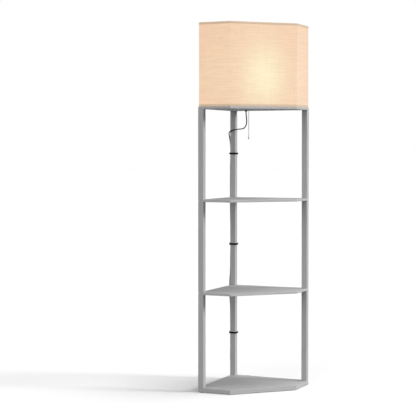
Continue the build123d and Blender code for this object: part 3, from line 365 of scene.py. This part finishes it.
def ring_of(profile, outline, closed=True):
    """A band: a profile of (outward, height) carried round an outline, capped where it is open."""
    verts, faces = [], []
    count, around = len(profile), len(outline)
    for point, normal in outline:
        for out, z in profile:
            verts.append((point.x + normal.x * out, point.y + normal.y * out, z))
    for i in range(around if closed else around - 1):
        j = (i + 1) % around
        for k in range(count):
            m = (k + 1) % count
            faces.append((i * count + k, j * count + k, j * count + m, i * count + m))
    if not closed:
        faces.append(tuple(range(count)))
        faces.append(tuple(range(around * count - 1, around * count - count - 1, -1)))
    return verts, faces


# ------------------------------------------------------- shade cloth
CLOTH_INSET = 0.0008  # from the shade's outline and from both its rims
CLOTH_ROWS = 30
CLOTH_THICKNESS = 0.0006
WAVE = 0.00012  # how far the cloth leaves its plane
STILL_ROWS = 3  # next to the hems, where the wave dies out

cloth_line = rounded(
    plan_corners(CLOTH_INSET), SHADE_CORNER - CLOTH_INSET, arc_steps=6, side_step=0.012
)
cloth_height = SHADE_TOP - SHADE_BOTTOM - 2 * CLOTH_INSET
verts, faces = [], []
for row in range(CLOTH_ROWS + 1):
    z = SHADE_BOTTOM + CLOTH_INSET + cloth_height * row / CLOTH_ROWS
    freedom = min(min(row, CLOTH_ROWS - row) / STILL_ROWS, 1)
    for index, (point, normal) in enumerate(cloth_line):
        wave = WAVE * sin(index * 0.9 + 2.3 * sin(row * 0.35)) * sin(row * 0.62 + index * 0.13)
        wave *= freedom
        verts.append((point.x + normal.x * wave, point.y + normal.y * wave, z))
around = len(cloth_line)
for row in range(CLOTH_ROWS):
    low, high = row * around, (row + 1) * around
    for i in range(around):
        j = (i + 1) % around
        faces.append((low + i, low + j, high + j, high + i))
linen_cloth = make_piece("linen_cloth", verts, faces, "linen")
thick = linen_cloth.modifiers.new("thickness", "SOLIDIFY")
thick.thickness = CLOTH_THICKNESS
thick.offset = -1
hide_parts("shade_linen")

# ------------------------------------------------------- hems
hem_line = rounded(plan_corners(0), SHADE_CORNER, arc_steps=6, side_step=0.03)


def hem_profile(rim, inward):
    """A folded tape over the cloth's edge: flat outside, rounded at the rim, a short leg inside."""
    inner = -0.0066
    points = [
        (-0.0007, rim + inward * HEM),
        (-0.00015, rim + inward * HEM),
        (0.0, rim + inward * (HEM - 0.0003)),
        (0.0001, rim + inward * HEM * 0.5),
        (0.0, rim + inward * 0.0012),
        (-0.0006, rim + inward * 0.0003),
        (-0.0018, rim),
        (inner + 0.0018, rim),
        (inner + 0.0006, rim + inward * 0.0003),
        (inner, rim + inward * 0.0012),
        (inner, rim + inward * 0.0046),
        (inner + 0.0003, rim + inward * 0.0049),
        (inner + 0.0007, rim + inward * 0.0049),
        (inner + 0.0007, rim + inward * 0.0014),
        (-0.0007, rim + inward * 0.0014),
    ]
    return points if inward < 0 else points[::-1]


def make_hem(name, rim, inward, node):
    verts, faces = ring_of(hem_profile(rim, inward), hem_line)
    hem = make_piece(name, verts, faces, "hem_cloth")
    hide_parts(node)
    return hem


top_hem = make_hem("top_hem_tape", SHADE_TOP, -1, "shade_top_hem")
bottom_hem = make_hem("bottom_hem_tape", SHADE_BOTTOM, 1, "shade_bottom_hem")

# ------------------------------------------------------- the cloth's glued lap
# it runs down the left wall side, between the third and the fourth point of the cloth there
LAP_ROWS = 24
# each point's share of the way across the lap and its distance off the cloth
LAP_SECTION = ((0.0, 0.0001), (0.04, 0.0006), (0.96, 0.0006), (1.0, 0.0001))

left_wall_side = [p for p in cloth_line if abs(p[1].x + 0.707) < 0.02 and p[1].y > 0.5]
left_wall_side.sort(key=lambda p: p[0].x)
(first, normal), (second, _) = left_wall_side[2:4]
verts, faces = [], []
for row in range(LAP_ROWS + 1):
    z = SHADE_BOTTOM + HEM * 0.9 + (SHADE_TOP - SHADE_BOTTOM - 1.8 * HEM) * row / LAP_ROWS
    for share, out in LAP_SECTION:
        place = first.lerp(second, share)
        verts.append((place.x + normal.x * out, place.y + normal.y * out, z))
columns = len(LAP_SECTION)
for row in range(LAP_ROWS):
    for k in range(columns - 1):
        a = row * columns + k
        faces.append((a, a + columns, a + columns + 1, a + 1))
lap_seam = make_piece("lap_seam", verts, faces, "linen", smooth=False)

# ------------------------------------------------------- straps round the post and the cord
STRAP_CLEARANCE = 0.15  # in millimetres, like the post
STRAP_HALF_WIDTH = 0.0038  # in metres, and so are the faces of its turns
STRAP_TURNS = ((0.0, 0.0022), (0.0024, 0.0046))  # inner and outer face of each turn


def hull_outline(growth, steps=7):
    """Round the post's corners and the cord, moved out by growth in millimetres."""
    far = POST - POST_EDGE
    over_cord = (POST_EDGE - 6.1, 9.0)
    corners = [(far, POST_EDGE), (far, far), (POST_EDGE, far), over_cord, (POST_EDGE, POST_EDGE)]
    flat = [at(u, v, 0).to_2d() for u, v in corners]
    count = len(flat)
    centre = sum(flat, Vector((0, 0))) / count
    radius = (POST_EDGE + growth) / 1000
    places = []
    for i, corner in enumerate(flat):
        into = (corner - flat[i - 1]).normalized()
        onward = (flat[(i + 1) % count] - corner).normalized()
        first = Vector((-into.y, into.x))
        last = Vector((-onward.y, onward.x))
        if (corner - centre).dot(first) < 0:
            first, last = -first, -last
        places += arc(corner, radius, atan2(first.y, first.x), atan2(last.y, last.x), steps)
    return places


def strap_profile(near, far, z):
    """The section of one turn with its edges broken, as pairs of outward distance and height."""
    low, high = z - STRAP_HALF_WIDTH, z + STRAP_HALF_WIDTH
    return [
        (near + 0.0003, low),
        (far - 0.0006, low),
        (far - 0.0001, low + 0.0005),
        (far, low + 0.0016),
        (far, high - 0.0016),
        (far - 0.0001, high - 0.0005),
        (far - 0.0006, high),
        (near + 0.0003, high),
        (near, high - 0.0004),
        (near, low + 0.0004),
    ]


strap_line = hull_outline(STRAP_CLEARANCE)
# the outer turn stays open for a stretch of the post's side, between the last corner and the first
(last_point, last_normal), (first_point, first_normal) = strap_line[-1], strap_line[0]
outer_turn = [
    (first_point.lerp(last_point, 0.3), first_normal),
    *strap_line,
    (last_point.lerp(first_point, 0.25), last_normal),
]
verts, faces = [], []
for height in STRAP_HEIGHTS:
    for turn, outline in zip(STRAP_TURNS, (strap_line, outer_turn)):
        profile = strap_profile(*turn, height / 1000)
        more, more_faces = ring_of(profile, outline, closed=outline is strap_line)
        start = len(verts)
        verts += more
        faces += [tuple(start + i for i in face) for face in more_faces]
soft_straps = make_piece("soft_straps", verts, faces, "strap_black")
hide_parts("cord_straps")

# ------------------------------------------------------- the cord's route, in millimetres
ENTRY_ANGLE = radians(162.0)
socket = at(LAMP, LAMP, CORD_ENTRY_HEIGHT)
leaving = Vector((cos(ENTRY_ANGLE), sin(ENTRY_ANGLE), 0))
TIED = -(0.4 + CORD_RADIUS)  # the cord's axis where a strap holds it, from the left wall


def strap_gap(upper, share):
    """A height between two straps, as a share of the way down from the upper one."""
    return STRAP_HEIGHTS[upper] + share * (STRAP_HEIGHTS[upper - 1] - STRAP_HEIGHTS[upper])


# the hank lies on the floor in two layers, tied at its waist, with a round end on either side
HANK_U, HANK_V = 98.0, -31.0  # its middle, from the two walls
HALF_LENGTH, END_RADIUS, WAIST = 38.0, 16.8, 7.0
SHOULDER_U, SHOULDER_V = 17.0, 11.6
LAYER_RISE = 5.5
HOLE_CLEARANCE, TIE_THICKNESS = 0.3, 0.7
END_CORNERS = 5
PLUG_HALF = 6.5  # half the plug's thickness
layer_0 = CORD_RADIUS + HOLE_CLEARANCE + TIE_THICKNESS
layer_1 = layer_0 + LAYER_RISE
end_slope = atan2(END_RADIUS - SHOULDER_V + 1.2, HALF_LENGTH - SHOULDER_U)
end_step = (pi + 2 * end_slope) / END_CORNERS
reach = END_RADIUS / cos(end_step / 2)
climb = LAYER_RISE / 6


def on_hank(along, across, z):
    return at(HANK_U + along, HANK_V + across, z)


def hank_end(direction, z):
    """The corners of the route round one end of the hank."""
    corners = []
    for index in range(END_CORNERS):
        angle = (END_CORNERS // 2 - index) * end_step
        along = HALF_LENGTH + reach * cos(angle)
        corners.append(on_hank(direction * along, direction * reach * sin(angle), z))
    return corners


route = [
    # out of the lampholder and over the deck into the bushing
    socket + leaving * 0.016,
    socket + leaving * 0.035,
    at(117.2, 178.7, 1250.5),
    at(105.9, 163.9, 1258.5),
    at(110.3, 145.2, 1267.5),
    at(114.3, 128.2, 1269.5),
    at(117, 117, 1257),
    # under the deck and across to the back post
    at(117, 117, DECK_BOTTOM - 22),
    at(120, 114.5, DECK_BOTTOM - 43),
    at(118, 114, DECK_BOTTOM - 65),
    at(101, 99, DECK_BOTTOM - 81),
    at(73, 73, DECK_BOTTOM - 83),
    at(48, 53, DECK_BOTTOM - 83.5),
    at(27, 37, DECK_BOTTOM - 85.5),
    at(8, 32.5, DECK_BOTTOM - 89),
    at(-6.5, 26, DECK_BOTTOM - 98),
    at(-7.5, 15, DECK_BOTTOM - 117),
    at(-4.5, 10, DECK_BOTTOM - 144),
    # down behind the post, under the three straps
    at(TIED, 9, STRAP_HEIGHTS[2]),
    at(-4.2, 10.5, strap_gap(2, 0.12)),
    at(-5.4, 9, strap_gap(2, 0.27)),
    at(-4.6, 11, strap_gap(2, 0.42)),
    at(-3.8, 12.5, strap_gap(2, 0.57)),
    at(-4.4, 9.5, strap_gap(2, 0.72)),
    at(-3.6, 7.5, strap_gap(2, 0.86)),
    at(TIED, 9, STRAP_HEIGHTS[1]),
    at(-4, 10.5, strap_gap(1, 0.14)),
    at(-4.2, 9.5, strap_gap(1, 0.29)),
    at(-7, 13, 447),
    at(-7.6, 12, 398),
    at(-4.6, 9, strap_gap(1, 0.69)),
    at(-3.6, 10.5, strap_gap(1, 0.84)),
    at(TIED, 9, STRAP_HEIGHTS[0]),
    at(-4.4, 7, 0.74 * STRAP_HEIGHTS[0]),
    at(-6.2, 5.5, 0.48 * STRAP_HEIGHTS[0]),
    # onto the floor
    at(-7.5, -1, 58),
    at(-9, -10, 30),
    at(-6, -18, 13),
    at(7, -22.5, 5.5),
    at(24, -18.5, layer_0),
    at(44, -11.5, layer_0),
    # the first layer of the hank
    on_hank(-HALF_LENGTH + 2, reach - 0.6, layer_0),
    on_hank(-SHOULDER_U, SHOULDER_V, layer_0),
    on_hank(0, WAIST, layer_0),
    on_hank(SHOULDER_U, SHOULDER_V, layer_0),
    *hank_end(1, layer_0),
    on_hank(SHOULDER_U, -SHOULDER_V, layer_0 + climb),
    on_hank(0, -WAIST, (layer_0 + layer_1) / 2),
    on_hank(-SHOULDER_U, -SHOULDER_V, layer_1 - climb),
    # the second layer
    *hank_end(-1, layer_1),
    on_hank(-SHOULDER_U, SHOULDER_V, layer_1),
    on_hank(0, WAIST, layer_1),
    on_hank(SHOULDER_U, SHOULDER_V, layer_1),
    on_hank(HALF_LENGTH - 2, reach - 0.6, layer_1),
    # off the hank into the plug
    on_hank(HALF_LENGTH + 15, reach + 2, layer_1 - 0.4),
    on_hank(HALF_LENGTH + 32, reach, PLUG_HALF + 0.8),
    on_hank(HALF_LENGTH + 50, reach - 5, PLUG_HALF),
    on_hank(HALF_LENGTH + 68, reach - 8, PLUG_HALF),
]

# ------------------------------------------------------- cord
curve = bpy.data.curves.new("power_cord", "CURVE")
curve.dimensions = "3D"
curve.bevel_depth = CORD_RADIUS / 1000
curve.bevel_resolution = 3
curve.resolution_u = 6
spline = curve.splines.new("NURBS")
spline.points.add(len(route) - 1)
for point, place in zip(spline.points, route):
    point.co = (*place, 1)
spline.order_u = 3
spline.use_endpoint_u = True
curve.materials.append(finishes["cord_jacket"])
power_cord = bpy.data.objects.new("power_cord", curve)
bpy.context.scene.collection.objects.link(power_cord)
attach(power_cord, "lamp")
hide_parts("cord_inside", "cord_hang", "cord_drop", "cord_hank")


# ------------------------------------------------------- floor and light
def background_rays(tree):
    """One for camera, glossy and transmission rays, zero for the rays that carry light."""
    rays = tree.nodes.new("ShaderNodeLightPath").outputs
    seen = operate(tree, NUMBERS, "MAXIMUM", rays["Is Camera Ray"], rays["Is Glossy Ray"])
    return operate(tree, NUMBERS, "MAXIMUM", seen["Value"], rays["Is Transmission Ray"])["Value"]


FLOOR_REACH = 60.0
# lit is what other things get light from, seen is what background rays find
FLOOR_LIT, FLOOR_SEEN = 0.26, 0.86
FLOOR_LIFT = 0.07  # the floor's own light, for background rays alone
WORLD_LIT, WORLD_SEEN = 0.2, 1.0

floor_mesh = bpy.data.meshes.new("floor")
floor_corners = [(-1, -1), (1, -1), (1, 1), (-1, 1)]
floor_mesh.from_pydata(
    [(x * FLOOR_REACH, y * FLOOR_REACH, 0) for x, y in floor_corners], [], [(0, 1, 2, 3)]
)
floor_material, tree, shader = new_material("floor")
rays = background_rays(tree)
floor_inputs = {
    "Roughness": 0.95,
    "Specular IOR Level": 0.0,
    "Base Color": to_range(tree, rays, FLOOR_LIT, FLOOR_SEEN, 0, 1),
    "Emission Color": (1, 1, 1, 1),
    "Emission Strength": operate(tree, NUMBERS, "MULTIPLY", rays, FLOOR_LIFT)["Value"],
}
fill(tree, shader, floor_inputs)
floor_mesh.materials.append(floor_material)
floor = bpy.data.objects.new("floor", floor_mesh)
bpy.context.scene.collection.objects.link(floor)

world = bpy.data.worlds.new("studio")
bpy.context.scene.world = world
world.use_nodes = True
tree = world.node_tree
strength = to_range(tree, background_rays(tree), WORLD_LIT, WORLD_SEEN, 0, 1)
fill(tree, tree.nodes["Background"], {"Color": (1, 1, 1, 1), "Strength": strength})


def sun(name, toward, strength, softness):
    """A distant lamp; toward points from the object to the lamp, softness is in degrees."""
    data = bpy.data.lights.new(name, "SUN")
    data.energy = strength
    data.angle = radians(softness)
    lamp = bpy.data.objects.new(name, data)
    lamp.rotation_mode = "QUATERNION"
    lamp.rotation_quaternion = Vector(toward).to_track_quat("Z", "Y")
    bpy.context.scene.collection.objects.link(lamp)


sun("key", (0.806, -0.483, 0.32), 2.6, 14)
sun("top", (0.3, -0.11, 0.947), 1.5, 30)
sun("fill", (-0.62, -0.72, 0.3), 2.0, 80)

# ------------------------------------------------------- camera, fitted to the photo
PICTURE = 416  # pixels along either side
FOCAL_LENGTH = 1286.44  # in the same pixels
AXIS_ROW = 188.0  # the picture's row that the camera points at
SENSOR = 36.0  # in millimetres
TILT, TURN = -1.701, -20.468  # in degrees, from level and from straight in front

camera_data = bpy.data.cameras.new("camera")
camera_data.sensor_width = SENSOR
camera_data.lens = FOCAL_LENGTH * SENSOR / PICTURE
camera_data.shift_y = (AXIS_ROW - PICTURE / 2) / PICTURE
camera_data.clip_end = 100
camera = bpy.data.objects.new("camera", camera_data)
camera.location = (-2.164, -5.294, 1.0516)
camera.rotation_euler = (radians(90 + TILT), 0, radians(TURN))
bpy.context.scene.collection.objects.link(camera)
bpy.context.scene.camera = camera

bpy.context.scene.view_settings.view_transform = "Standard"
